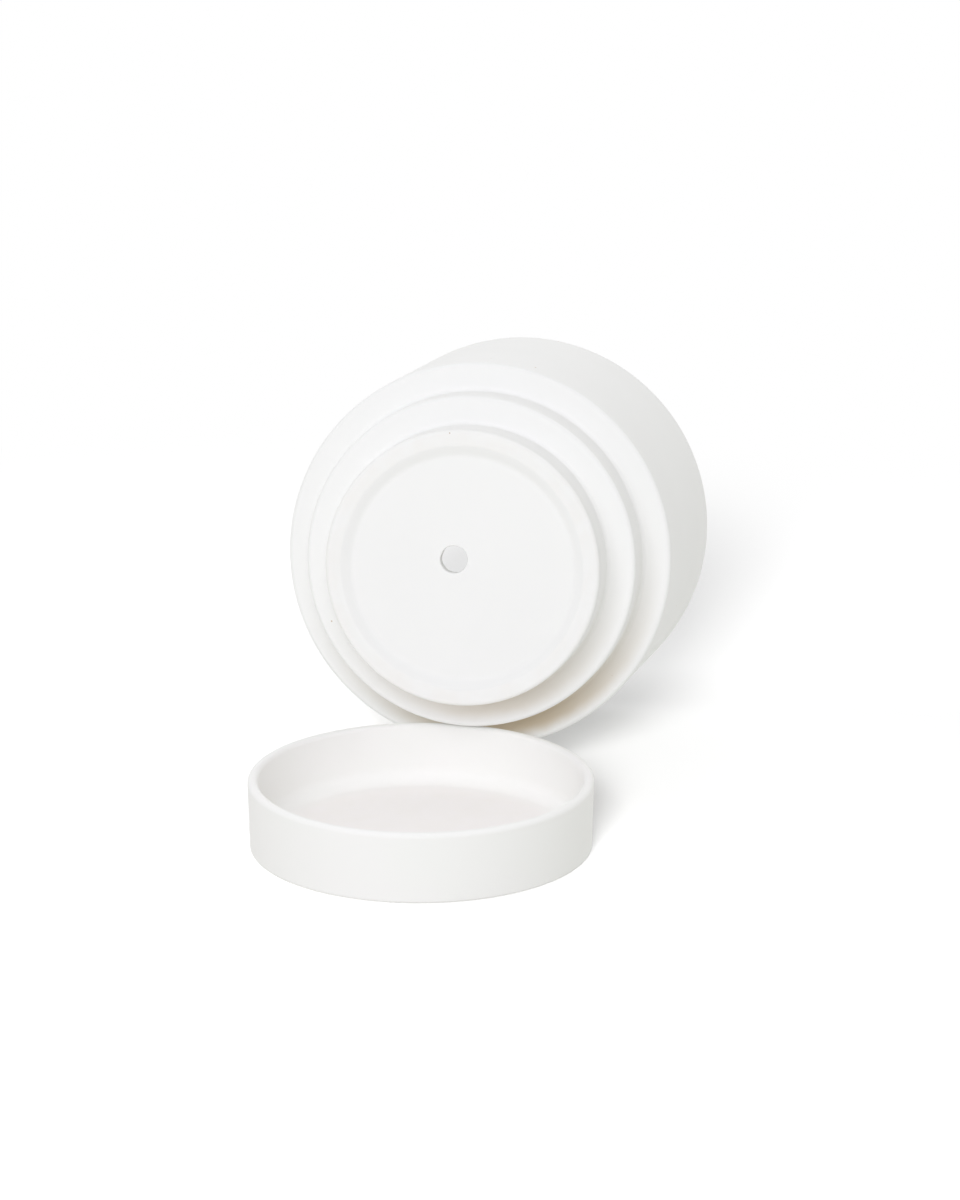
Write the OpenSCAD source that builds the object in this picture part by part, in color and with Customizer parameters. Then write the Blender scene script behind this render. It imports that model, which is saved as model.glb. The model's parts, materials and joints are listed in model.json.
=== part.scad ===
// Porcelain plant pot with a stepped base, and the saucer it stands in.
// The saucer stands on the floor at the origin. The pot lies on its side behind it:
// the collar of the pot is propped on the rim of the saucer, and the lip of its mouth is on the floor.

/* [Pot] */
// Outside diameter of the body
body_d = 150; // [120:1:200]
// Height of the straight side of the body
body_h = 104; // [80:1:160]
// How far each step stands in from the one above it
step_in = 11; // [8:0.5:14]
// Height of each step, the collar and the foot
step_h = 18; // [14:0.5:24]
// Thickness of the wall of the pot
wall = 4.5; // [3.5:0.25:6]
// Thickness of the floor of the pot
floor_t = 4.5; // [3.5:0.25:7]
// Diameter of the drain hole
drain_d = 10.5; // [6:0.5:16]
// Offset of the drain hole from the axis, along X of the standing pot
drain_x = -3.4; // [-8:0.1:8]
// Offset of the drain hole from the axis, along Y of the standing pot
drain_y = -3; // [-8:0.1:8]

/* [Foot ring] */
// Width of the ring that the foot stands on
ring_w = 6; // [4:0.5:8]
// Depth of the recess inside the ring
recess = 2; // [1:0.25:3]
// Width of the slope from the ring into the recess
slope_w = 4; // [3:0.25:6]

/* [Saucer] */
// How far the rim stands out past the collar that it carries
rim_proud = 1; // [0:0.25:3]
// Free height under the foot when the pot stands in the saucer
drain_gap = 5; // [3:0.5:10]
// Thickness of the wall of the saucer
saucer_wall = 4; // [3:0.25:6]
// Thickness of the floor of the saucer
saucer_floor = 4; // [3:0.25:6]
// How far the wall leans in from the rim to the base
saucer_draft = 0.7; // [0:0.1:2]

/* [Rounding] */
// Outer edges of the steps and of the body
edge_r = 1.5; // [0.8:0.1:2]
// Corners between the steps
root_r = 1.5; // [0.8:0.1:2.5]
// Corners inside the pot
inside_r = 3; // [1.5:0.25:4]
// Both ends of the slope into the recess
slope_r = 4; // [1:0.5:6]
// Bevel on both edges of the drain hole
drain_bevel = 0.5; // [0.2:0.1:1]
// Bottom edge of the saucer
base_edge_r = 1; // [0.5:0.1:2]
// Sweep from the wall to the floor inside the saucer
sweep_r = 6; // [3:0.5:8]

/* [Pose] */
// Distance from the face of the collar to the place where it meets the rim
reach = 5.8; // [3:0.1:12]
// Distance sideways from the middle of the saucer to the axis of the pot
side = 6.3; // [0:0.1:15]
// Clearance between the collar and the rim
rest_gap = 0.4; // [0.2:0.1:1]

/* [Hidden] */
$fn = 96;

pot_colour = "#f5f4f1";
saucer_colour = "#f3f1ed";

// Radii and height of the pot
body_r = body_d / 2;
collar_r = body_r - step_in;
foot_r = collar_r - step_in;
ring_r = foot_r - ring_w;
recess_r = ring_r - slope_w;
drain_r = drain_d / 2;
pot_h = 2 * step_h + body_h;

// Nearly full rounds on the lip of the pot and on the rim of the saucer
lip_share = 0.45;
lip_r = lip_share * wall;
rim_edge_r = lip_share * saucer_wall;

// The rim carries the collar, and the foot hangs clear of the floor of the saucer
rim_r = collar_r + rim_proud;
saucer_h = saucer_floor + drain_gap + step_h;
base_r = rim_r - saucer_draft;
sweep_start_r = base_r - saucer_wall + saucer_draft * saucer_floor / saucer_h;

// Places where the lying pot is carried, in a plane along its axis: the middle of the round
// on the rim, and from there the lever to the round on the lip, across the axis and along it
prop_y = sqrt(pow(rim_r - rim_edge_r, 2) - pow(side, 2));
prop_z = saucer_h - rim_edge_r;
prop_to_axis = collar_r + rest_gap + rim_edge_r;
prop_to_foot = step_h + reach;
lever_across = body_r - lip_r - prop_to_axis;
lever_along = pot_h - lip_r - prop_to_foot;

// The tilt at which the round on the lip just meets the floor
tilt = asin((prop_z - lip_r) / norm([lever_across, lever_along])) - atan2(lever_across, lever_along);

// Middle of the foot of the lying pot
foot_at = [
    side,
    prop_y - prop_to_foot * cos(tilt) + prop_to_axis * sin(tilt),
    prop_z + prop_to_foot * sin(tilt) + prop_to_axis * cos(tilt)
];

// How far the cut of the drain hole runs past both faces of the floor
over = 1;

// Half section of the pot, [radius, height] anticlockwise from the middle of its base, each with its rounding
pot_section = [
    [[0, recess], 0],
    [[recess_r, recess], slope_r],
    [[ring_r, 0], slope_r],
    [[foot_r, 0], edge_r],
    [[foot_r, step_h], root_r],
    [[collar_r, step_h], edge_r],
    [[collar_r, 2 * step_h], root_r],
    [[body_r, 2 * step_h], edge_r],
    [[body_r, pot_h], lip_r],
    [[body_r - wall, pot_h], lip_r],
    [[body_r - wall, 2 * step_h + wall], inside_r],
    [[collar_r - wall, 2 * step_h + wall], inside_r],
    [[collar_r - wall, step_h + wall], inside_r],
    [[foot_r - wall, step_h + wall], inside_r],
    [[foot_r - wall, recess + floor_t], inside_r],
    [[0, recess + floor_t], 0]
];

// Half section of the saucer, in the same way from the middle of its base
saucer_section = [
    [[0, 0], 0],
    [[base_r, 0], base_edge_r],
    [[rim_r, saucer_h], rim_edge_r],
    [[rim_r - saucer_wall, saucer_h], rim_edge_r],
    [[sweep_start_r, saucer_floor], sweep_r],
    [[0, saucer_floor], 0]
];

function unit(v) = v / norm(v);

// Positive where the outline turns left at b, which is an outward corner
function turn(a, b, c) = cross(b - a, c - b);

// The area between a corner and the arc that rounds it
module corner_area(before, corner, after, r) {
    to_before = unit(before - corner);
    to_after = unit(after - corner);
    half_angle = acos(to_before * to_after) / 2;
    reach_back = r / tan(half_angle);
    middle = corner + unit(to_before + to_after) * r / sin(half_angle);
    difference() {
        polygon([corner, corner + to_before * reach_back, middle, corner + to_after * reach_back]);
        translate(middle) circle(r);
    }
}

// Corner areas of a section: the outward ones, or the inward ones
module corner_areas(section, outward) {
    count = len(section);
    for (i = [0 : count - 1]) {
        before = section[(i + count - 1) % count][0];
        corner = section[i][0];
        after = section[(i + 1) % count][0];
        r = section[i][1];
        is_outward = turn(before, corner, after) > 0;
        if (r > 0 && is_outward == outward) corner_area(before, corner, after, r);
    }
}

// A section with its outward corners rounded off and its inward corners filled
module rounded(section) {
    difference() {
        union() {
            polygon([for (point = section) point[0]]);
            corner_areas(section, outward = false);
        }
        corner_areas(section, outward = true);
    }
}

// The cut through the floor of the pot, wider at both faces for the bevels
module drain_cut() {
    mouth_r = drain_r + drain_bevel + over;
    rotate_extrude() polygon([
        [0, recess - over],
        [mouth_r, recess - over],
        [drain_r, recess + drain_bevel],
        [drain_r, recess + floor_t - drain_bevel],
        [mouth_r, recess + floor_t + over],
        [0, recess + floor_t + over]
    ]);
}

// The pot, turned from standing on its foot to lying with its mouth away from the saucer
module pot() {
    color(pot_colour)
        translate(foot_at)
        rotate([-90 - tilt, 0, 0])
        difference() {
            rotate_extrude() rounded(pot_section);
            translate([drain_x, drain_y, 0]) drain_cut();
        }
}

module saucer() {
    color(saucer_colour)
        rotate_extrude() rounded(saucer_section);
}

pot();
saucer();
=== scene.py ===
"""A porcelain plant pot lies on its side, propped on the rim of its saucer, on a white studio floor.

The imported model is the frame. Its record gives the place and the lean of the pot and the width of the drain
hole. Both pieces are turned from half sections by one Geometry Nodes tree, and dressed in matte porcelain.
"""

import json
import logging
import math
from dataclasses import dataclass
from enum import Enum
from typing import Any, Dict, List, Mapping, Optional, Sequence, Tuple, Union

import bpy
from mathutils import Matrix, Vector


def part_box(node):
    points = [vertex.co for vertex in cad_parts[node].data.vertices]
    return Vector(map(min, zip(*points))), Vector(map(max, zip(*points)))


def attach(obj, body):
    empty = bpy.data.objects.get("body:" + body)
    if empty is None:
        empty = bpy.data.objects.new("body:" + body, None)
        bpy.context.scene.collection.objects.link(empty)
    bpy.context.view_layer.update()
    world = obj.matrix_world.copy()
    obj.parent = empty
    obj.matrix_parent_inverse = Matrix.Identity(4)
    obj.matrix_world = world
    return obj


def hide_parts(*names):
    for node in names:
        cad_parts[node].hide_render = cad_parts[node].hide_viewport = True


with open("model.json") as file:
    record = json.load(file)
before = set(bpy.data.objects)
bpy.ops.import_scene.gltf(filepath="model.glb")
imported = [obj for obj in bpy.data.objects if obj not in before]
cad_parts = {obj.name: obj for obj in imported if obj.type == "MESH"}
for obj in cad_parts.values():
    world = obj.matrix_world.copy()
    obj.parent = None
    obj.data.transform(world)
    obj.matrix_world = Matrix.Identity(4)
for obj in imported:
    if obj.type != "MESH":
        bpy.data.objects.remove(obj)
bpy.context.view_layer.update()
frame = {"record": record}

LOG = logging.getLogger("pot_and_saucer")
PHOTO_SIZE = (960, 1200)
MM = 0.001
NOISE_MIDDLE = 0.5

Colour = Tuple[float, float, float, float]
Socket = bpy.types.NodeSocket
Feed = Union[Socket, bpy.types.Material, str, float, Sequence[float]]
WHITE: Colour = (1.0, 1.0, 1.0, 1.0)


class Body(Enum):
    """The bodies of the frame. Each has one node of the same name."""

    POT = "pot"
    SAUCER = "saucer"


class TurnInput(Enum):
    """The named inputs of the tree that turns a half section into a piece."""

    SECTION = "Section"
    ROUND_STEPS = "Round Steps"
    TURN_STEPS = "Turn Steps"
    BARE_SPOT = "Bare Spot"
    BARE_REACH = "Bare Reach"
    # The next five inputs place the painted warm shade in the roots of the steps, strongest on one side.
    FIRST_ROOT = "First Root"
    SECOND_ROOT = "Second Root"
    PAINTED_SHADE_SIDE = "Stain Side"
    PAINTED_SHADE_FADE = "Stain Fade"
    FIRST_SHARE = "First Share"
    HOLE_RADIUS = "Hole Radius"
    HOLE_WOBBLE = "Hole Wobble"
    HOLE_OFFSET = "Hole Offset"
    SEED = "Seed"
    PLACE = "Place"
    LEAN = "Lean"
    FINISH = "Finish"


class Kind(Enum):
    """The types of socket that the node groups have."""

    COLOUR = "NodeSocketColor"
    FLOAT = "NodeSocketFloat"
    GEOMETRY = "NodeSocketGeometry"
    INT = "NodeSocketInt"
    MATERIAL = "NodeSocketMaterial"
    VECTOR = "NodeSocketVector"


def srgb(red: float, green: float, blue: float) -> Colour:
    """Turns a colour as seen on a screen into the linear one that a shader takes.

    Args:
        red: red, from 0 to 255.
        green: green, from 0 to 255.
        blue: blue, from 0 to 255.

    Returns:
        The linear colour, with an alpha of 1.
    """
    parts = [v / 255 for v in (red, green, blue)]
    linear = [v / 12.92 if v <= 0.04045 else ((v + 0.055) / 1.055) ** 2.4 for v in parts]
    return (linear[0], linear[1], linear[2], 1.0)


class Bench:
    """Adds nodes to one tree and joins them."""

    def __init__(self, tree: bpy.types.NodeTree) -> None:
        """Starts work on a tree.

        Args:
            tree: the tree that takes the nodes.
        """
        self.tree = tree

    def node(
        self, kind: str, feeds: Optional[Mapping[Any, Feed]] = None, **settings: Any
    ) -> bpy.types.Node:
        """Adds a node.

        Args:
            kind: the type of the node.
            feeds: what goes into its inputs, a value or a socket, by the input's name or number.
            settings: the node's own properties.

        Returns:
            The new node.
        """
        made = self.tree.nodes.new(kind)
        for name, value in settings.items():
            setattr(made, name, value)
        for key, feed in (feeds or {}).items():
            if isinstance(feed, Socket):
                self.tree.links.new(feed, made.inputs[key])
            else:
                made.inputs[key].default_value = feed
        return made

    def group(self, tree: bpy.types.NodeTree, feeds: Mapping[str, Feed]) -> bpy.types.NodeOutputs:
        """Places a shared shader group and gives its outputs."""
        return self.node("ShaderNodeGroup", feeds, node_tree=tree).outputs

    def math(self, operation: str, *terms: Feed) -> Socket:
        """Adds a sum on numbers.

        Args:
            operation: the kind of sum.
            terms: its terms, values or sockets.

        Returns:
            The answer's socket.
        """
        return self.node("ShaderNodeMath", dict(enumerate(terms)), operation=operation).outputs[0]

    def vector(self, operation: str, feeds: Mapping[Any, Feed]) -> Socket:
        """Adds a sum on vectors that gives a vector."""
        return self.node("ShaderNodeVectorMath", feeds, operation=operation).outputs["Vector"]

    def measure(self, operation: str, feeds: Mapping[Any, Feed]) -> Socket:
        """Adds a sum on vectors that gives a number."""
        return self.node("ShaderNodeVectorMath", feeds, operation=operation).outputs["Value"]

    def ramp(self, value: Feed, start: Feed, end: Feed, low: Feed = 0.0, high: Feed = 1.0) -> Socket:
        """Adds a smooth step.

        Args:
            value: what is measured.
            start: where the step begins.
            end: where it ends.
            low: the answer before it.
            high: the answer after it.

        Returns:
            The answer's socket.
        """
        feeds = dict(enumerate((value, start, end, low, high)))
        return self.node("ShaderNodeMapRange", feeds, interpolation_type="SMOOTHSTEP").outputs[0]

    def blend(self, share: Feed, first: Feed, second: Feed) -> Socket:
        """Mixes two colours.

        Args:
            share: how much of the second there is, from 0 to 1.
            first: the first colour.
            second: the second colour.

        Returns:
            The mixed colour's socket.
        """
        feeds = {"Factor": share, 6: first, 7: second}
        return self.node("ShaderNodeMix", feeds, data_type="RGBA").outputs[2]


def start_tree(owner: Union[bpy.types.Material, bpy.types.World]) -> Bench:
    """Clears the node tree of a material or a world.

    Args:
        owner: what the tree belongs to.

    Returns:
        The bench for the tree.
    """
    owner.use_nodes = True
    owner.node_tree.nodes.clear()
    return Bench(owner.node_tree)


def start_group(
    name: str, tree_type: str, inputs: Mapping[str, Kind], outputs: Mapping[str, Kind]
) -> Tuple[Bench, bpy.types.NodeOutputs, bpy.types.Node]:
    """Starts a node group with named sockets.

    Args:
        name: the group's name.
        tree_type: the type of tree.
        inputs: the type of each input.
        outputs: the type of each output.

    Returns:
        The bench for the group, the sockets that bring its inputs, and its output node.
    """
    tree = bpy.data.node_groups.new(name, tree_type)
    for side, sockets in (("INPUT", inputs), ("OUTPUT", outputs)):
        for label, kind in sockets.items():
            tree.interface.new_socket(label, in_out=side, socket_type=kind.value)
    bench = Bench(tree)
    return bench, bench.node("NodeGroupInput").outputs, bench.node("NodeGroupOutput")


def add_object(name: str, data: bpy.types.ID) -> bpy.types.Object:
    """Adds an object to the scene.

    Args:
        name: the object's name.
        data: its mesh, lamp or lens.

    Returns:
        The object.
    """
    made = bpy.data.objects.new(name, data)
    bpy.context.scene.collection.objects.link(made)
    return made


@dataclass(frozen=True)
class Corner:
    """A corner of a half section.

    Attributes:
        radius: distance from the axis, in metres.
        height: distance along the axis, in metres.
        rounding: radius of the arc that rounds the corner, in metres.
    """

    radius: float
    height: float
    rounding: float = 0.0

    @property
    def spot(self) -> Vector:
        """The corner's place in the plane of the section."""
        return Vector((self.radius, self.height))


@dataclass(frozen=True)
class Section:
    """A half section, as a chain of corners. Its ends meet, or both lie on the axis.

    Attributes:
        corners: the corners, in order.
        guard: distance from a rounding to the point that keeps the flat beside it flat, in metres.
    """

    corners: Tuple[Corner, ...]
    guard: float = 0.25 * MM

    def reach(self, index: int) -> float:
        """Measures how far a corner's rounding reaches along its sides.

        Args:
            index: which corner.

        Returns:
            The distance from the corner to the end of its arc, in metres.
        """
        here = self.corners[index]
        if not here.rounding:
            return 0.0
        before = (self.corners[index - 1].spot - here.spot).normalized()
        after = (self.corners[index + 1].spot - here.spot).normalized()
        return here.rounding / math.tan(before.angle(after) / 2)

    def points(self) -> List[Corner]:
        """Lists the corners, with guard points on the straight runs between them.

        Returns:
            The points of the chain.
        """
        chain = [self.corners[0]]
        for index in range(1, len(self.corners)):
            start, end = self.corners[index - 1], self.corners[index]
            run = end.spot - start.spot
            first = self.reach(index - 1) + self.guard
            last = run.length - self.reach(index) - self.guard
            if last - first > 2 * self.guard:
                for along in (first, last):
                    spot = start.spot + run * (along / run.length)
                    chain.append(Corner(spot.x, spot.y))
            chain.append(end)
        return chain


class Turning:
    """Turns half sections into pieces with a Geometry Nodes tree.

    Attributes:
        ROUNDING: attribute of a section with the rounding of each corner.
        BARE: attribute of a piece with the distance inside the edge of the bare clay, in millimetres.
        PAINTED_SHADE: attribute with the distance from the middle of the nearer patch of painted warm shade
            in the roots of the steps, in millimetres.
        PAINTED_SHADE_SHARE: attribute with the strength of that painted shade, greatest on the side where the
            roots lie in shadow.
        SOCKETS: types of the tree's inputs.
        MERGE: how near points are that become one at the seam and the poles.
        HOLE_EDGE: how far round the drain hole all of the surface goes with it, in radii of the hole.
        HOLE_FADE: where none of it does any more, in the same way.
        HOLE_LOBES: scale of the uneven wall of the hole.
        HALF_STEP: what keeps the row of a point clear of rounding errors.
    """

    ROUNDING = "rounding"
    BARE = "bare"
    PAINTED_SHADE = "painted_shade"
    PAINTED_SHADE_SHARE = "painted_shade_share"
    SOCKETS = {
        TurnInput.SECTION: Kind.GEOMETRY,
        TurnInput.ROUND_STEPS: Kind.INT,
        TurnInput.TURN_STEPS: Kind.INT,
        TurnInput.BARE_SPOT: Kind.VECTOR,
        TurnInput.BARE_REACH: Kind.FLOAT,
        TurnInput.FIRST_ROOT: Kind.VECTOR,
        TurnInput.SECOND_ROOT: Kind.VECTOR,
        TurnInput.PAINTED_SHADE_SIDE: Kind.FLOAT,
        TurnInput.PAINTED_SHADE_FADE: Kind.FLOAT,
        TurnInput.FIRST_SHARE: Kind.FLOAT,
        TurnInput.HOLE_RADIUS: Kind.FLOAT,
        TurnInput.HOLE_WOBBLE: Kind.FLOAT,
        TurnInput.HOLE_OFFSET: Kind.VECTOR,
        TurnInput.SEED: Kind.INT,
        TurnInput.PLACE: Kind.VECTOR,
        TurnInput.LEAN: Kind.VECTOR,
        TurnInput.FINISH: Kind.MATERIAL,
    }
    MERGE = 0.002 * MM
    HOLE_EDGE = 1.3
    HOLE_FADE = 2.0
    HOLE_LOBES = 1.4
    HALF_STEP = 0.5

    def __init__(self) -> None:
        """Builds the tree."""
        inputs = {name.value: kind for name, kind in self.SOCKETS.items()}
        outputs = {"Piece": Kind.GEOMETRY}
        self.bench, self.given, out = start_group("turned_section", "GeometryNodeTree", inputs, outputs)
        bench = self.bench
        surface = self._revolve(self._round_section())
        placed = bench.node(
            "GeometryNodeTransform",
            {
                "Geometry": surface,
                "Translation": self._in(TurnInput.PLACE),
                "Rotation": self._in(TurnInput.LEAN),
            },
        )
        smooth = bench.node("GeometryNodeSetShadeSmooth", {"Geometry": placed.outputs[0]})
        real = bench.node("GeometryNodeRealizeInstances", {"Geometry": smooth.outputs[0]})
        finish = self._in(TurnInput.FINISH)
        dressed = bench.node("GeometryNodeSetMaterial", {"Geometry": real.outputs[0], "Material": finish})
        bench.tree.links.new(dressed.outputs[0], out.inputs["Piece"])

    def _in(self, name: TurnInput) -> Socket:
        """Gives the socket that brings one of the tree's inputs."""
        return self.given[name.value]

    def _round_section(self) -> Socket:
        """Rounds the corners of the section, each by its own radius.

        Returns:
            The rounded section, a curve.
        """
        bench = self.bench
        curve = bench.node("GeometryNodeMeshToCurve", {"Mesh": self._in(TurnInput.SECTION)})
        radius = bench.node("GeometryNodeInputNamedAttribute", {"Name": self.ROUNDING}, data_type="FLOAT")
        return bench.node(
            "GeometryNodeFilletCurve",
            {
                "Curve": curve.outputs[0],
                "Count": self._in(TurnInput.ROUND_STEPS),
                "Radius": radius.outputs["Attribute"],
                "Limit Radius": True,
            },
            mode="POLY",
        ).outputs[0]

    def _revolve(self, section: Socket) -> Socket:
        """Lays a grid round the axis, one row for each point of the section.

        Args:
            section: the rounded section.

        Returns:
            The turned surface, closed at its seam and its poles.
        """
        bench = self.bench
        steps = self._in(TurnInput.TURN_STEPS)
        size = bench.node("GeometryNodeAttributeDomainSize", {"Geometry": section}, component="CURVE")
        columns = bench.math("ADD", steps, 1.0)
        grid = bench.node(
            "GeometryNodeMeshGrid", {"Vertices X": size.outputs["Point Count"], "Vertices Y": columns}
        )
        index = bench.node("GeometryNodeInputIndex").outputs[0]
        row = bench.math("FLOOR", bench.math("DIVIDE", bench.math("ADD", index, self.HALF_STEP), columns))
        column = bench.math("SUBTRACT", index, bench.math("MULTIPLY", row, columns))
        angle = bench.math("DIVIDE", bench.math("MULTIPLY", column, math.tau), steps)
        position = bench.node("GeometryNodeInputPosition").outputs[0]
        spot = bench.node(
            "GeometryNodeSampleIndex",
            {"Geometry": section, "Value": position, "Index": row},
            data_type="FLOAT_VECTOR",
            domain="POINT",
        ).outputs[0]
        parts = bench.node("ShaderNodeSeparateXYZ", {0: spot}).outputs
        across, up = bench.math("COSINE", angle), bench.math("SINE", angle)
        near = self._near_hole(parts["X"])
        wobble = bench.math("MULTIPLY", near, self._hole_wobble(across, up))
        radius = bench.math("ADD", parts["X"], wobble)
        ring = bench.node(
            "ShaderNodeCombineXYZ",
            {
                "X": bench.math("MULTIPLY", radius, across),
                "Y": bench.math("MULTIPLY", radius, up),
                "Z": parts["Z"],
            },
        )
        shift = bench.vector("SCALE", {0: self._in(TurnInput.HOLE_OFFSET), "Scale": near})
        place = bench.vector("ADD", {0: ring.outputs[0], 1: shift})
        marked = self._mark_painted_shade(self._mark_bare(grid.outputs["Mesh"], spot), spot, angle)
        moved = bench.node("GeometryNodeSetPosition", {"Geometry": marked, "Position": place})
        closed = bench.node(
            "GeometryNodeMergeByDistance", {"Geometry": moved.outputs[0], "Distance": self.MERGE}
        )
        return bench.node("GeometryNodeFlipFaces", {"Mesh": closed.outputs[0]}).outputs[0]

    def _apart(self, spot: Socket, name: TurnInput) -> Socket:
        """Gives the distance in the section from a point to a spot that an input names."""
        return self.bench.measure("DISTANCE", {0: spot, 1: self._in(name)})

    def _mark_bare(self, mesh: Socket, spot: Socket) -> Socket:
        """Keeps on the surface where the clay is bare.

        Args:
            mesh: the surface.
            spot: the point of the section.

        Returns:
            The marked surface.
        """
        apart = self._apart(spot, TurnInput.BARE_SPOT)
        inside = self.bench.math("SUBTRACT", self._in(TurnInput.BARE_REACH), apart)
        return self._mark(mesh, self.BARE, self.bench.math("DIVIDE", inside, MM))

    def _mark_painted_shade(self, mesh: Socket, spot: Socket, angle: Socket) -> Socket:
        """Keeps on the surface where the painted warm shade lies in the roots of the steps, and how strong it
        is.

        Args:
            mesh: the surface.
            spot: the point of the section.
            angle: the angle round the axis.

        Returns:
            The marked surface.
        """
        bench = self.bench
        first = self._apart(spot, TurnInput.FIRST_ROOT)
        second = self._apart(spot, TurnInput.SECOND_ROOT)
        at_first = bench.math("LESS_THAN", first, second)
        share = bench.ramp(at_first, 0.0, 1.0, 1.0, self._in(TurnInput.FIRST_SHARE))
        # The painted shade is strongest on the given side, where the roots lie in shadow, and fades round the
        # axis.
        turned = bench.math("SUBTRACT", self._in(TurnInput.PAINTED_SHADE_SIDE), angle)
        aside = bench.math("SUBTRACT", bench.math("COSINE", turned), 1.0)
        fade = bench.math("EXPONENT", bench.math("MULTIPLY", aside, self._in(TurnInput.PAINTED_SHADE_FADE)))
        apart = bench.math("DIVIDE", bench.math("MINIMUM", first, second), MM)
        marked = self._mark(mesh, self.PAINTED_SHADE, apart)
        return self._mark(marked, self.PAINTED_SHADE_SHARE, bench.math("MULTIPLY", fade, share))

    def _mark(self, mesh: Socket, name: str, value: Socket) -> Socket:
        """Keeps a value on the points of the surface, for the finish to read.

        Args:
            mesh: the surface.
            name: the attribute's name.
            value: the value, in millimetres if it is a distance.

        Returns:
            The marked surface.
        """
        return self.bench.node(
            "GeometryNodeStoreNamedAttribute",
            {"Geometry": mesh, "Name": name, "Value": value},
            data_type="FLOAT",
            domain="POINT",
        ).outputs[0]

    def _near_hole(self, radius: Socket) -> Socket:
        """Finds the part of the section that goes with the drain hole.

        Args:
            radius: the section's distance from the axis.

        Returns:
            A mask, 1 on the wall and the edges of the hole.
        """
        bench = self.bench
        hole = self._in(TurnInput.HOLE_RADIUS)
        start, end = (bench.math("MULTIPLY", hole, reach) for reach in (self.HOLE_EDGE, self.HOLE_FADE))
        return bench.ramp(radius, start, end, 1.0, 0.0)

    def _hole_wobble(self, across: Socket, up: Socket) -> Socket:
        """Makes the wall of the drain hole a little uneven, as a hole cut by hand is.

        Args:
            across: the cosine of the angle round the axis.
            up: the sine of the angle.

        Returns:
            How far the wall stands out of its circle, in metres.
        """
        bench = self.bench
        ring = bench.node("ShaderNodeCombineXYZ", {"X": across, "Y": up})
        noise = bench.node(
            "ShaderNodeTexNoise",
            {
                "Vector": ring.outputs[0],
                "W": self._in(TurnInput.SEED),
                "Scale": self.HOLE_LOBES,
                "Detail": 1.0,
            },
            noise_dimensions="4D",
        )
        swing = bench.math("SUBTRACT", noise.outputs[0], NOISE_MIDDLE)
        return bench.math("MULTIPLY", swing, self._in(TurnInput.HOLE_WOBBLE))

    def turn(self, name: str, section: Section, values: Mapping[TurnInput, Any]) -> bpy.types.Object:
        """Makes a piece from a half section.

        Args:
            name: the piece's name.
            section: its half section.
            values: the tree's inputs.

        Returns:
            The piece, a plain mesh in its place.
        """
        points = section.points()
        mesh = bpy.data.meshes.new(name)
        mesh.from_pydata(
            [(point.radius, 0.0, point.height) for point in points],
            [(index, index + 1) for index in range(len(points) - 1)],
            [],
        )
        mesh.attributes.new(self.ROUNDING, "FLOAT", "POINT").data.foreach_set(
            "value", [point.rounding for point in points]
        )
        piece = add_object(name, mesh)
        lathe = piece.modifiers.new("turning", "NODES")
        lathe.node_group = self.bench.tree
        identifiers = {item.name: item.identifier for item in lathe.node_group.interface.items_tree}
        for key, value in values.items():
            lathe[identifiers[key.value]] = value
        bpy.context.view_layer.update()
        graph = bpy.context.evaluated_depsgraph_get()
        turned = bpy.data.meshes.new_from_object(
            piece.evaluated_get(graph), preserve_all_data_layers=True, depsgraph=graph
        )
        turned.materials.clear()
        turned.materials.append(values[TurnInput.FINISH])
        turned.polygons.foreach_set("material_index", [0] * len(turned.polygons))
        piece.modifiers.clear()
        piece.data = turned
        bpy.data.meshes.remove(mesh)
        turned.name = name
        return piece


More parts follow.
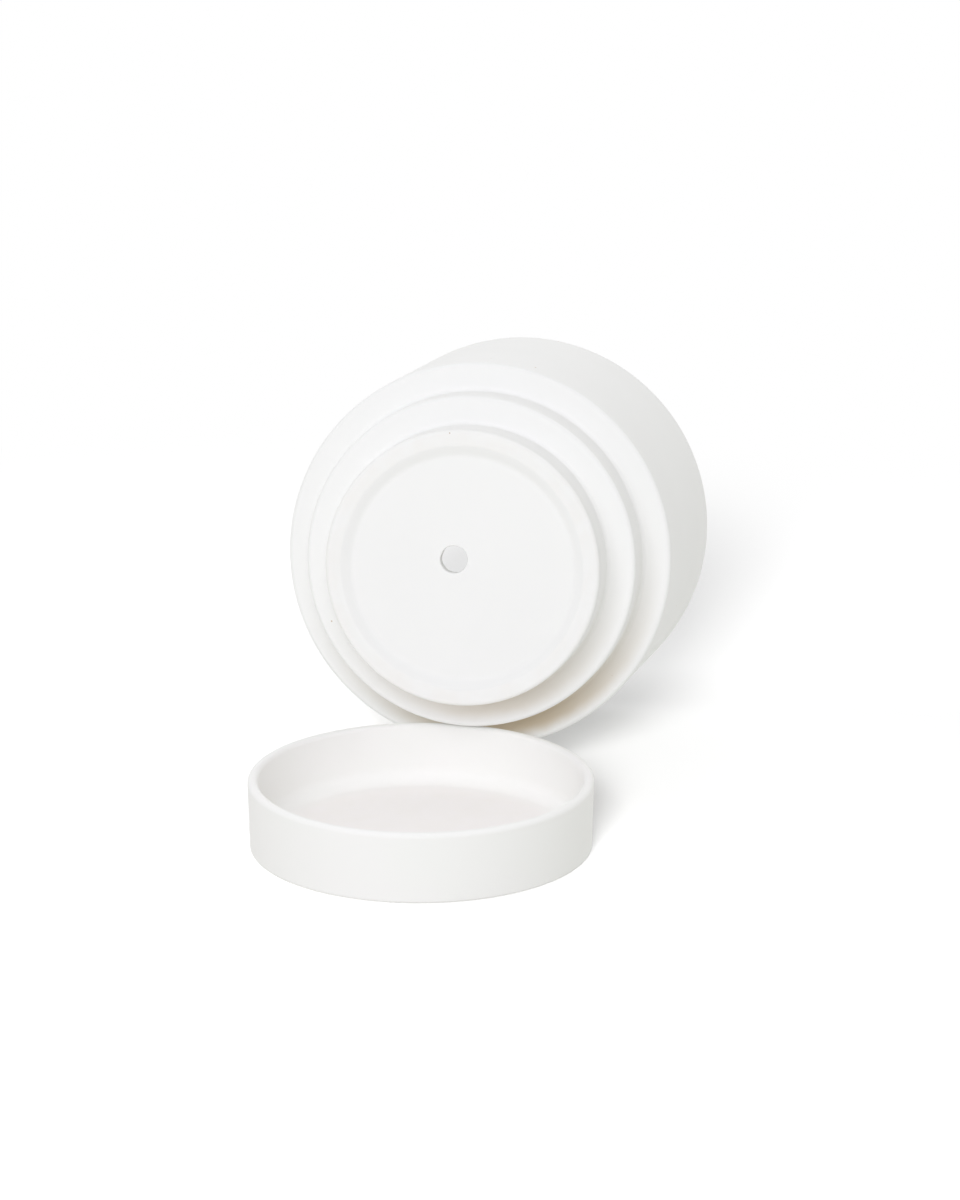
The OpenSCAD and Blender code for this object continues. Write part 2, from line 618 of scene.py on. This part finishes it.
class Effects:
    """Shader groups that both porcelain finishes share.

    Attributes:
        CLOUD_EDGES: levels of noise at which a cloud begins and is full.
        SPECK_LEAST: size of the smallest speck, as a share of the size asked for.
        SPECK_CORE: share of a speck that has its full colour.
        WIDE_GRAIN: size of the patches of roughness, in grains.
    """

    CLOUD_EDGES = (0.3, 0.7)
    SPECK_LEAST = 0.4
    SPECK_CORE = 0.5
    WIDE_GRAIN = 30.0

    def __init__(self) -> None:
        """Builds the groups."""
        self.clouds = self._clouds()
        self.specks = self._specks()
        self.grain = self._grain()

    @staticmethod
    def _noise(bench: Bench, place: Feed, size: Feed, detail: float) -> bpy.types.NodeOutputs:
        """Adds noise with features of a size in metres, and gives its outputs."""
        scale = bench.math("DIVIDE", 1.0, size)
        return bench.node("ShaderNodeTexNoise", {"Vector": place, "Scale": scale, "Detail": detail}).outputs

    def _clouds(self) -> bpy.types.ShaderNodeTree:
        """Makes the soft drift of tone in a matte glaze.

        Returns:
            A group from two tones to the colour at each point.
        """
        bench, given, out = start_group(
            "glaze_clouds",
            "ShaderNodeTree",
            {"Vector": Kind.VECTOR, "Tone": Kind.COLOUR, "Drift Tone": Kind.COLOUR, "Size": Kind.FLOAT},
            {"Color": Kind.COLOUR},
        )
        noise = self._noise(bench, given["Vector"], given["Size"], 3.0)
        share = bench.ramp(noise[0], *self.CLOUD_EDGES)
        bench.tree.links.new(bench.blend(share, given["Tone"], given["Drift Tone"]), out.inputs["Color"])
        return bench.tree

    def _specks(self) -> bpy.types.ShaderNodeTree:
        """Makes sparse specks, such as iron leaves in fired clay.

        Returns:
            A group from spacing, size and share to a mask.
        """
        bench, given, out = start_group(
            "kiln_specks",
            "ShaderNodeTree",
            {"Vector": Kind.VECTOR, "Spacing": Kind.FLOAT, "Size": Kind.FLOAT, "Share": Kind.FLOAT},
            {"Mask": Kind.FLOAT},
        )
        rough = self._noise(bench, given["Vector"], given["Size"], 1.0)
        offset = bench.vector("SUBTRACT", {0: rough["Color"], 1: (NOISE_MIDDLE,) * 3})
        shift = bench.vector("SCALE", {0: offset, "Scale": given["Size"]})
        place = bench.vector("ADD", {0: given["Vector"], 1: shift})
        scale = bench.math("DIVIDE", 1.0, given["Spacing"])
        cells = bench.node("ShaderNodeTexVoronoi", {"Vector": place, "Scale": scale}).outputs
        chance = bench.node("ShaderNodeSeparateColor", {0: cells["Color"]}).outputs
        distance = bench.math("MULTIPLY", cells["Distance"], given["Spacing"])
        size = bench.math("MULTIPLY", given["Size"], bench.math("ADD", chance[1], self.SPECK_LEAST))
        dot = bench.ramp(bench.math("DIVIDE", distance, size), self.SPECK_CORE, 1.0, 1.0, 0.0)
        there = bench.math("LESS_THAN", chance[0], given["Share"])
        bench.tree.links.new(bench.math("MULTIPLY", dot, there), out.inputs["Mask"])
        return bench.tree

    def _grain(self) -> bpy.types.ShaderNodeTree:
        """Makes the fine tooth of a matte surface.

        Returns:
            A group from grain size to a height and a drift of roughness.
        """
        bench, given, out = start_group(
            "matte_grain",
            "ShaderNodeTree",
            {"Vector": Kind.VECTOR, "Size": Kind.FLOAT, "Roughness": Kind.FLOAT, "Drift": Kind.FLOAT},
            {"Height": Kind.FLOAT, "Roughness": Kind.FLOAT},
        )
        fine = self._noise(bench, given["Vector"], given["Size"], 2.0)
        patch = bench.math("MULTIPLY", given["Size"], self.WIDE_GRAIN)
        wide = self._noise(bench, given["Vector"], patch, 2.0)
        swing = bench.math("MULTIPLY", bench.math("SUBTRACT", wide[0], NOISE_MIDDLE), given["Drift"])
        bench.tree.links.new(fine[0], out.inputs["Height"])
        bench.tree.links.new(bench.math("ADD", given["Roughness"], swing), out.inputs["Roughness"])
        return bench.tree


@dataclass(frozen=True)
class Porcelain:
    """Matte porcelain: a glaze over all but the foot, which is bare.

    Attributes:
        slot: the record's slot for this finish.
        tone: main colour of the glaze.
        drift_tone: colour that the glaze drifts to.
        bare_tone: colour of the bare clay.
        bare_drift_tone: colour that the bare clay drifts to.
        speck_tone: colour of the specks.
        speck_share: share of the places that hold a speck.
        edge_tone: colour of a darker band of glaze beside the bare clay.
        edge_share: how much of it there is.
        painted_shade_tone: colour of the painted warm shade in the roots of the steps.
        painted_shade_share: how much of that painted shade there is.
        roughness: roughness of the glaze.
        bare_roughness: roughness of the bare clay.
        gloss: specular level.
        bare_edge: how softly the bare clay ends, in millimetres.
        EDGE_REACH: how far the darker band reaches from the bare clay, in millimetres.
        PAINTED_SHADE_NEAR: how far from its middle the painted shade is full, in millimetres.
        PAINTED_SHADE_FAR: how far from its middle the painted shade ends, in millimetres.
        PAINTED_SHADE_SWING: how uneven that is, in millimetres.
        GLAZE_SWING: how uneven the edge of the glaze is, in millimetres.
    """

    slot: str
    tone: Colour
    drift_tone: Colour
    bare_tone: Colour = srgb(246, 246, 244)
    bare_drift_tone: Colour = srgb(245, 244, 241)
    speck_tone: Colour = srgb(196, 172, 146)
    speck_share: float = 0.1
    edge_tone: Colour = srgb(239, 239, 237)
    edge_share: float = 0.45
    # Painted shade: a warm tan darkening laid in the roots of the steps.
    painted_shade_tone: Colour = srgb(210, 193, 165)
    painted_shade_share: float = 0.85
    roughness: float = 0.62
    bare_roughness: float = 0.8
    gloss: float = 0.12
    bare_edge: float = 0.35

    EDGE_REACH = 5.0
    # Reach and unevenness of the painted shade in the roots of the steps.
    PAINTED_SHADE_NEAR = 4.6
    PAINTED_SHADE_FAR = 7.4
    PAINTED_SHADE_SWING = 1.2
    PAINTED_SHADE_SWING_SIZE = 8 * MM
    CLOUD_SIZE = 45 * MM
    BARE_CLOUD_SIZE = 9 * MM
    SPECK_SPACING = 6 * MM
    SPECK_SIZE = 0.45 * MM
    GRAIN_SIZE = 0.5 * MM
    GRAIN_DEPTH = 0.02 * MM
    GRAIN_STRENGTH = 0.35
    ROUGHNESS_DRIFT = 0.12
    GLAZE_SWING = 1.2
    GLAZE_SWING_SIZE = 5 * MM

    def material(self, effects: Effects) -> bpy.types.Material:
        """Makes the material.

        Args:
            effects: the shared shader groups.

        Returns:
            The material.
        """
        made = bpy.data.materials.new(f"matte_{self.slot}")
        bench = start_tree(made)
        place = bench.node("ShaderNodeTexCoord").outputs["Object"]
        inside = self._uneven(bench, place, Turning.BARE, self.GLAZE_SWING, self.GLAZE_SWING_SIZE)
        bare = bench.ramp(inside, -self.bare_edge, self.bare_edge)
        edge_band = bench.ramp(inside, -self.EDGE_REACH, self.EDGE_REACH / -2, 0.0, self.edge_share)
        glaze = bench.group(
            effects.clouds,
            {"Vector": place, "Tone": self.tone, "Drift Tone": self.drift_tone, "Size": self.CLOUD_SIZE},
        )
        clay = bench.group(
            effects.clouds,
            {
                "Vector": place,
                "Tone": self.bare_tone,
                "Drift Tone": self.bare_drift_tone,
                "Size": self.BARE_CLOUD_SIZE,
            },
        )
        specks = bench.group(
            effects.specks,
            {
                "Vector": place,
                "Spacing": self.SPECK_SPACING,
                "Size": self.SPECK_SIZE,
                "Share": self.speck_share,
            },
        )
        grain = bench.group(
            effects.grain,
            {
                "Vector": place,
                "Size": self.GRAIN_SIZE,
                "Roughness": bench.ramp(bare, 0.0, 1.0, self.roughness, self.bare_roughness),
                "Drift": self.ROUGHNESS_DRIFT,
            },
        )
        banded = bench.blend(edge_band, glaze["Color"], self.edge_tone)
        ground = bench.blend(bare, banded, clay["Color"])
        # Painted shade: a warm tan darkening in the roots of the steps, strongest on the side where they lie
        # in shadow.
        with_painted_shade = bench.blend(self._painted_shade_mask(bench, place), ground, self.painted_shade_tone)
        colour = bench.blend(specks["Mask"], with_painted_shade, self.speck_tone)
        bump = bench.node(
            "ShaderNodeBump",
            {"Strength": self.GRAIN_STRENGTH, "Distance": self.GRAIN_DEPTH, "Height": grain["Height"]},
        )
        shader = bench.node(
            "ShaderNodeBsdfPrincipled",
            {
                "Base Color": colour,
                "Roughness": grain["Roughness"],
                "Normal": bump.outputs[0],
                "Specular IOR Level": self.gloss,
            },
        )
        bench.node("ShaderNodeOutputMaterial", {"Surface": shader.outputs[0]})
        return made

    @staticmethod
    def _uneven(bench: Bench, place: Socket, name: str, swing: float, size: float) -> Socket:
        """Reads a distance that the turning kept, and makes it uneven.

        Args:
            bench: the material's bench.
            place: the point on the piece.
            name: the attribute's name.
            swing: how far the distance swings, in millimetres.
            size: size of the swings, in metres.

        Returns:
            The distance's socket, in millimetres.
        """
        kept = bench.node("ShaderNodeAttribute", attribute_name=name).outputs["Fac"]
        noise = bench.node("ShaderNodeTexNoise", {"Vector": place, "Scale": 1 / size, "Detail": 2.0})
        centred = bench.math("SUBTRACT", noise.outputs[0], NOISE_MIDDLE)
        return bench.math("MULTIPLY_ADD", centred, swing, kept)

    def _painted_shade_mask(self, bench: Bench, place: Socket) -> Socket:
        """Masks the painted warm shade in the roots of the steps, which fades away from its middle and round
        the axis.

        Args:
            bench: the material's bench.
            place: the point on the piece.

        Returns:
            The mask's socket.
        """
        away = self._uneven(bench, place, Turning.PAINTED_SHADE, self.PAINTED_SHADE_SWING, self.PAINTED_SHADE_SWING_SIZE)
        share = bench.node("ShaderNodeAttribute", attribute_name=Turning.PAINTED_SHADE_SHARE).outputs["Fac"]
        depth = bench.ramp(away, self.PAINTED_SHADE_NEAR, self.PAINTED_SHADE_FAR, self.painted_shade_share, 0.0)
        return bench.math("MULTIPLY", share, depth)


def mount(name: str) -> Dict[str, Any]:
    """Finds one of the record's mounts.

    Args:
        name: the mount's name.

    Returns:
        The mount, as the record holds it.
    """
    return next(entry for entry in frame["record"]["mounts"] if entry["name"] == name)


@dataclass
class Pot:
    """The stepped pot, lying on its side.

    Attributes:
        finish: what it is dressed in.
        body_radius: outside radius of the body.
        body_height: height of the straight side of the body.
        step_in: how far each step stands in.
        step_height: height of each step.
        wall: thickness of the wall.
        floor: thickness of the floor.
        ring_width: width of the foot ring.
        recess: depth of the recess inside the ring.
        slope_width: width of the slope into the recess.
        edge_rounding: rounding of the outer edges.
        root_rounding: rounding of the corners between the steps.
        inside_rounding: rounding of the corners inside.
        slope_rounding: rounding of both ends of the slope.
        lip_share: rounding of the lip, as a share of the wall.
        hole_rounding: rounding of both edges of the drain hole.
        hole_wobble: how far the wall of the drain hole is out of round.
        hole_seed: which uneven wall it has.
        round_steps: points on each rounding.
        turn_steps: points round the axis.
        painted_shade_out: how far out of the roots the middle of the painted shade lies.
        painted_shade_side: side of the pot where the painted shade lies, where the roots are in shadow, in
            degrees round its axis.
        painted_shade_fade: how fast the painted shade fades towards the other side.
        first_painted_shade_share: share of the painted shade in the root of the foot, to that in the root of
            the collar.
    """

    finish: Porcelain
    body_radius: float = 75 * MM
    body_height: float = 104 * MM
    step_in: float = 11 * MM
    step_height: float = 18 * MM
    wall: float = 4.5 * MM
    floor: float = 4.5 * MM
    ring_width: float = 6 * MM
    recess: float = 2 * MM
    slope_width: float = 4 * MM
    edge_rounding: float = 1.5 * MM
    root_rounding: float = 1.5 * MM
    inside_rounding: float = 3 * MM
    slope_rounding: float = 4 * MM
    lip_share: float = 0.45
    hole_rounding: float = 0.5 * MM
    hole_wobble: float = 0.5 * MM
    hole_seed: int = 3
    round_steps: int = 8
    turn_steps: int = 192
    # Painted shade: a warm tan in the roots of the steps, on the side where they lie in shadow.
    painted_shade_out: float = 3 * MM
    painted_shade_side: float = 75.0
    painted_shade_fade: float = 4.7
    first_painted_shade_share: float = 0.45

    def __post_init__(self) -> None:
        """Reads the place, the lean and the hole from the frame."""
        hole, foot = mount("drain_hole"), mount("pot_foot")
        low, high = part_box(Body.POT.value)
        outward = Vector(foot["axis"])
        self.foot_at = Vector(((low[0] + high[0]) / 2, *foot["pos_m"][1:]))
        self.lean = -math.pi / 2 - math.atan2(outward.z, -outward.y)
        standing = Matrix.Rotation(-self.lean, 3, "X")
        self.hole_radius = hole["dims"]["r_mm"] * MM
        self.hole_offset = (standing @ (Vector(hole["pos_m"]) - self.foot_at)).xy

    def section(self) -> Section:
        """Draws the half section, from the middle of the wall of the drain hole round to the same place.

        Returns:
            The half section of the standing pot.
        """
        hole, body = self.hole_radius, self.body_radius
        collar = body - self.step_in
        foot = collar - self.step_in
        ring = foot - self.ring_width
        first, second = self.step_height, 2 * self.step_height
        top = second + self.body_height
        ground = self.recess + self.floor
        lip = self.lip_share * self.wall
        middle = Corner(hole, self.recess + self.floor / 2)
        return Section(
            (
                middle,
                Corner(hole, self.recess, self.hole_rounding),
                Corner(ring - self.slope_width, self.recess, self.slope_rounding),
                Corner(ring, 0.0, self.slope_rounding),
                Corner(foot, 0.0, self.edge_rounding),
                Corner(foot, first, self.root_rounding),
                Corner(collar, first, self.edge_rounding),
                Corner(collar, second, self.root_rounding),
                Corner(body, second, self.edge_rounding),
                Corner(body, top, lip),
                Corner(body - self.wall, top, lip),
                Corner(body - self.wall, second + self.wall, self.inside_rounding),
                Corner(collar - self.wall, second + self.wall, self.inside_rounding),
                Corner(collar - self.wall, first + self.wall, self.inside_rounding),
                Corner(foot - self.wall, first + self.wall, self.inside_rounding),
                Corner(foot - self.wall, ground, self.inside_rounding),
                Corner(hole, ground, self.hole_rounding),
                middle,
            )
        )

    def build(self, turning: Turning, effects: Effects) -> bpy.types.Object:
        """Turns the pot, dresses it and puts it on its body.

        Args:
            turning: the tree that turns sections.
            effects: the shared shader groups.

        Returns:
            The piece.
        """
        foot = self.body_radius - 2 * self.step_in
        out = self.painted_shade_out
        piece = turning.turn(
            "stepped_pot",
            self.section(),
            {
                TurnInput.ROUND_STEPS: self.round_steps,
                TurnInput.TURN_STEPS: self.turn_steps,
                TurnInput.BARE_SPOT: (foot - self.ring_width / 2, 0.0, 0.0),
                TurnInput.BARE_REACH: self.ring_width / 2,
                # Painted shade in the roots of the foot and the collar, strongest on the side where they lie
                # in shadow.
                TurnInput.FIRST_ROOT: (foot + out, 0.0, self.step_height - out),
                TurnInput.SECOND_ROOT: (foot + self.step_in + out, 0.0, 2 * self.step_height - out),
                TurnInput.PAINTED_SHADE_SIDE: math.radians(self.painted_shade_side),
                TurnInput.PAINTED_SHADE_FADE: self.painted_shade_fade,
                TurnInput.FIRST_SHARE: self.first_painted_shade_share,
                TurnInput.HOLE_RADIUS: self.hole_radius,
                TurnInput.HOLE_WOBBLE: self.hole_wobble,
                TurnInput.HOLE_OFFSET: (*self.hole_offset, 0.0),
                TurnInput.SEED: self.hole_seed,
                TurnInput.PLACE: self.foot_at,
                TurnInput.LEAN: (self.lean, 0.0, 0.0),
                TurnInput.FINISH: self.finish.material(effects),
            },
        )
        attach(piece, Body.POT.value)
        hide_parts(Body.POT.value)
        return piece


@dataclass
class Saucer:
    """The shallow saucer that carries the pot.

    Attributes:
        finish: what it is dressed in.
        rim_radius: outside radius at the rim.
        height: height of the rim.
        wall: thickness of the wall.
        floor: thickness of the floor.
        draft: how far the wall leans in towards the base.
        sweep: radius of the sweep between wall and floor inside.
        base_rounding: rounding of the bottom edge.
        rim_share: rounding of the rim, as a share of the wall.
        round_steps: points on each rounding.
        turn_steps: points round the axis.
    """

    finish: Porcelain
    rim_radius: float = 65 * MM
    height: float = 27 * MM
    wall: float = 4 * MM
    floor: float = 4 * MM
    draft: float = 0.7 * MM
    sweep: float = 6 * MM
    base_rounding: float = 1 * MM
    rim_share: float = 0.45
    round_steps: int = 10
    turn_steps: int = 192

    def section(self) -> Section:
        """Draws the half section, from the middle of the base to the middle of the floor.

        Returns:
            The half section.
        """
        base = self.rim_radius - self.draft
        rim = self.rim_share * self.wall
        inside = base - self.wall + self.draft * self.floor / self.height
        return Section(
            (
                Corner(0.0, 0.0),
                Corner(base, 0.0, self.base_rounding),
                Corner(self.rim_radius, self.height, rim),
                Corner(self.rim_radius - self.wall, self.height, rim),
                Corner(inside, self.floor, self.sweep),
                Corner(0.0, self.floor),
            )
        )

    def build(self, turning: Turning, effects: Effects) -> bpy.types.Object:
        """Turns the saucer, dresses it and puts it on its body. It has no painted shade and no hole.

        Args:
            turning: the tree that turns sections.
            effects: the shared shader groups.

        Returns:
            The piece.
        """
        base = self.rim_radius - self.draft
        piece = turning.turn(
            "shallow_saucer",
            self.section(),
            {
                TurnInput.ROUND_STEPS: self.round_steps,
                TurnInput.TURN_STEPS: self.turn_steps,
                TurnInput.BARE_SPOT: (0.0, 0.0, self.floor),
                TurnInput.BARE_REACH: base - self.wall - self.sweep,
                TurnInput.FINISH: self.finish.material(effects),
            },
        )
        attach(piece, Body.SAUCER.value)
        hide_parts(Body.SAUCER.value)
        return piece


@dataclass(frozen=True)
class Softbox:
    """A square studio lamp that faces the object.

    Attributes:
        name: the lamp's name.
        azimuth: where it stands, in degrees from the front towards the right.
        elevation: how high it stands, in degrees.
        distance: how far it is from the object, in metres.
        side: length of its side, in metres.
        power: its power, in watts.
        colour: its colour.
        target: the point that it faces.
    """

    name: str
    azimuth: float
    elevation: float
    distance: float
    side: float
    power: float
    colour: Tuple[float, float, float] = (1.0, 1.0, 1.0)
    target: Tuple[float, float, float] = (0.0, 0.06, 0.06)

    def build(self, lit: Sequence[bpy.types.Object]) -> bpy.types.Object:
        """Puts up the lamp.

        Args:
            lit: what it lights.

        Returns:
            The lamp.
        """
        lamp = bpy.data.lights.new(self.name, "AREA")
        lamp.shape = "SQUARE"
        lamp.size = self.side
        lamp.energy = self.power
        lamp.color = self.colour
        holder = add_object(self.name, lamp)
        turn, rise = math.radians(self.azimuth), math.radians(self.elevation)
        away = Vector((math.sin(turn) * math.cos(rise), -math.cos(turn) * math.cos(rise), math.sin(rise)))
        holder.location = Vector(self.target) + away * self.distance
        holder.rotation_euler = (-away).to_track_quat("-Z", "Y").to_euler()
        holder.visible_camera = False
        group = bpy.data.collections.new(f"lit_by_{self.name}")
        for thing in lit:
            group.objects.link(thing)
        holder.light_linking.receiver_collection = group
        return holder


@dataclass(frozen=True)
class PhotoCamera:
    """The camera at the photograph's viewing angle.

    Attributes:
        azimuth: where it stands, in degrees from the front towards the right.
        pitch: how far it looks down, in degrees.
        focal_px: focal length, in pixels of the photograph.
        origin_px: pixel at which the frame's origin shows.
        origin_depth: depth of the origin in front of the camera, in metres.
        SENSOR: longer side of the sensor, in millimetres.
        CLIP: nearest and farthest depth that it sees, in metres.
    """

    azimuth: float = 10.563
    pitch: float = 16.978
    focal_px: float = 4983.6
    origin_px: Tuple[float, float] = (420.985, 843.981)
    origin_depth: float = 1.8755

    SENSOR = 36.0
    CLIP = (0.05, 50.0)

    def build(self) -> bpy.types.Object:
        """Places the camera and makes it the scene's camera.

        Returns:
            The camera.
        """
        turn, down = math.radians(self.azimuth), math.radians(self.pitch)
        right = Vector((math.cos(turn), math.sin(turn), 0.0))
        ahead = Vector((-math.sin(turn) * math.cos(down), math.cos(turn) * math.cos(down), -math.sin(down)))
        upward = right.cross(ahead)
        shift_x = (self.origin_px[0] - PHOTO_SIZE[0] / 2) / self.focal_px
        shift_y = (self.origin_px[1] - PHOTO_SIZE[1] / 2) / self.focal_px
        place = (ahead + right * shift_x - upward * shift_y) * -self.origin_depth
        lens = bpy.data.cameras.new("photo_camera")
        lens.sensor_width = self.SENSOR
        lens.lens = self.focal_px * self.SENSOR / max(PHOTO_SIZE)
        lens.clip_start, lens.clip_end = self.CLIP
        camera = add_object("photo_camera", lens)
        facing = Matrix((right, upward, -ahead)).transposed().to_4x4()
        camera.matrix_world = Matrix.Translation(place) @ facing
        bpy.context.scene.camera = camera
        return camera


@dataclass(frozen=True)
class Studio:
    """A white floor, a white surround and soft lamps.

    Attributes:
        key: the lamp on the object.
        floor_lamps: the lamps on the floor, which throw the shadow.
        surround_level: level of the light from all round.
        backdrop_level: how much stronger that light is straight behind.
        floor_tone: colour that the floor throws back at the object.
        floor_glow: light that the floor gives the object from below, also in its shadow.
        floor_half: half the side of the floor, in metres.
        floor_drop: how far the floor lies below the saucer, in metres.
        floor_white: colour of the floor that the camera sees.
        floor_lift: light added to it.
        near: distance up to which the floor shows its shadows, in metres.
        far: distance past which it is plain white, in metres.
        BACKDROP_POWER: how narrow the stronger light behind is.
    """

    key: Softbox
    floor_lamps: Tuple[Softbox, ...]
    surround_level: float = 0.445
    backdrop_level: float = 0.95
    floor_tone: Colour = srgb(90, 91, 84)
    floor_glow: float = 0.57
    floor_half: float = 6.0
    floor_drop: float = 0.1 * MM
    floor_white: Colour = (0.65, 0.65, 0.65, 1.0)
    floor_lift: float = 0.12
    near: float = 0.36
    far: float = 0.6

    BACKDROP_POWER = 2.0

    @staticmethod
    def _seen(bench: Bench) -> Socket:
        """Tells what the camera sees, straight, mirrored or through glass.

        Args:
            bench: the material's bench.

        Returns:
            A socket with 1 for what it sees, and 0 for light on the object.
        """
        rays = bench.node("ShaderNodeLightPath").outputs
        mirrored = bench.math("MAXIMUM", rays["Is Glossy Ray"], rays["Is Transmission Ray"])
        return bench.math("MAXIMUM", rays["Is Camera Ray"], mirrored)

    def floor(self) -> bpy.types.Object:
        """Lays the floor.

        Returns:
            The floor, which is part of the stage.
        """
        half, level = self.floor_half, -self.floor_drop
        corners = [(-half, -half, level), (half, -half, level), (half, half, level), (-half, half, level)]
        mesh = bpy.data.meshes.new("studio_floor")
        mesh.from_pydata(corners, [], [(0, 1, 2, 3)])
        mesh.materials.append(self._floor_material())
        made = add_object("studio_floor", mesh)
        return made

    def _floor_material(self) -> bpy.types.Material:
        """Makes the floor white to the camera, with its shadows, and a soft light from below to the object.

        Returns:
            The material.
        """
        made = bpy.data.materials.new("studio_floor")
        bench = start_tree(made)
        place = bench.node("ShaderNodeTexCoord").outputs["Object"]
        away = bench.measure("LENGTH", {0: place})
        matte = bench.node("ShaderNodeBsdfDiffuse", {"Color": self.floor_tone})
        glow = bench.node("ShaderNodeEmission", {"Strength": self.floor_glow})
        pale = bench.node("ShaderNodeAddShader", {0: matte.outputs[0], 1: glow.outputs[0]})
        white = bench.node("ShaderNodeBsdfDiffuse", {"Color": self.floor_white})
        lift = bench.node("ShaderNodeEmission", {"Strength": self.floor_lift})
        shaded = bench.node("ShaderNodeAddShader", {0: white.outputs[0], 1: lift.outputs[0]})
        plain = bench.node("ShaderNodeEmission", {"Strength": 1.0})
        fade = bench.ramp(away, self.near, self.far)
        shown = bench.node("ShaderNodeMixShader", {0: fade, 1: shaded.outputs[0], 2: plain.outputs[0]})
        surface = bench.node(
            "ShaderNodeMixShader", {0: self._seen(bench), 1: pale.outputs[0], 2: shown.outputs[0]}
        )
        bench.node("ShaderNodeOutputMaterial", {"Surface": surface.outputs[0]})
        return made

    def world(self) -> bpy.types.World:
        """Makes the surround: white to the camera, and a soft light to the object, stronger from behind.

        Returns:
            The world.
        """
        made = bpy.data.worlds.new("studio_surround")
        bench = start_tree(made)
        way = bench.node("ShaderNodeTexCoord").outputs["Generated"]
        behind = bench.measure("DOT_PRODUCT", {0: way, 1: (0.0, 1.0, 0.0)})
        front_to_back = bench.math("MULTIPLY_ADD", behind, 0.5, 0.5)
        share = bench.math("POWER", front_to_back, self.BACKDROP_POWER)
        level = bench.math("MULTIPLY_ADD", share, self.backdrop_level, self.surround_level)
        light = bench.node("ShaderNodeBackground", {"Color": WHITE, "Strength": level})
        white = bench.node("ShaderNodeBackground", {"Color": WHITE, "Strength": 1.0})
        both = bench.node(
            "ShaderNodeMixShader", {0: self._seen(bench), 1: light.outputs[0], 2: white.outputs[0]}
        )
        bench.node("ShaderNodeOutputWorld", {"Surface": both.outputs[0]})
        bpy.context.scene.world = made
        return made

    def build(self, pieces: Sequence[bpy.types.Object]) -> None:
        """Lays the floor, makes the surround and puts up the lamps.

        Args:
            pieces: the pieces of the object.
        """
        self.world()
        self.key.build(pieces)
        floor = self.floor()
        for lamp in self.floor_lamps:
            lamp.build([floor])


def main() -> None:
    """Builds the pieces, the studio and the camera, in that order."""
    logging.basicConfig(level=logging.INFO, format="%(name)s: %(message)s")
    turning, effects = Turning(), Effects()
    pot_finish = Porcelain("pot_porcelain", tone=srgb(246, 246, 244), drift_tone=srgb(245, 245, 243))
    saucer_finish = Porcelain(
        "saucer_porcelain",
        tone=srgb(248, 247, 245),
        drift_tone=srgb(247, 247, 244),
        bare_tone=srgb(251, 248, 246),
        bare_drift_tone=srgb(250, 247, 244),
        speck_tone=srgb(186, 178, 170),
        speck_share=0.05,
        bare_edge=6.0,
        edge_share=0.0,
        painted_shade_share=0.0,
    )
    pieces = [assembly.build(turning, effects) for assembly in (Pot(pot_finish), Saucer(saucer_finish))]
    for piece in pieces:
        LOG.info("%s: %d faces", piece.name, len(piece.data.polygons))
    Studio(
        key=Softbox(
            "key_lamp",
            azimuth=-3.0,
            elevation=32.0,
            distance=2.0,
            side=1.3,
            power=17.8,
            colour=(1.0, 1.0, 1.07),
        ),
        floor_lamps=(
            Softbox("floor_lamp_front", azimuth=4.0, elevation=23.0, distance=2.5, side=0.7, power=108.0),
            Softbox("floor_lamp_left", azimuth=-85.0, elevation=38.0, distance=2.5, side=0.7, power=28.0),
        ),
    ).build(pieces)
    PhotoCamera().build()
    bpy.context.scene.view_settings.view_transform = "Standard"


if __name__ == "__main__":
    main()
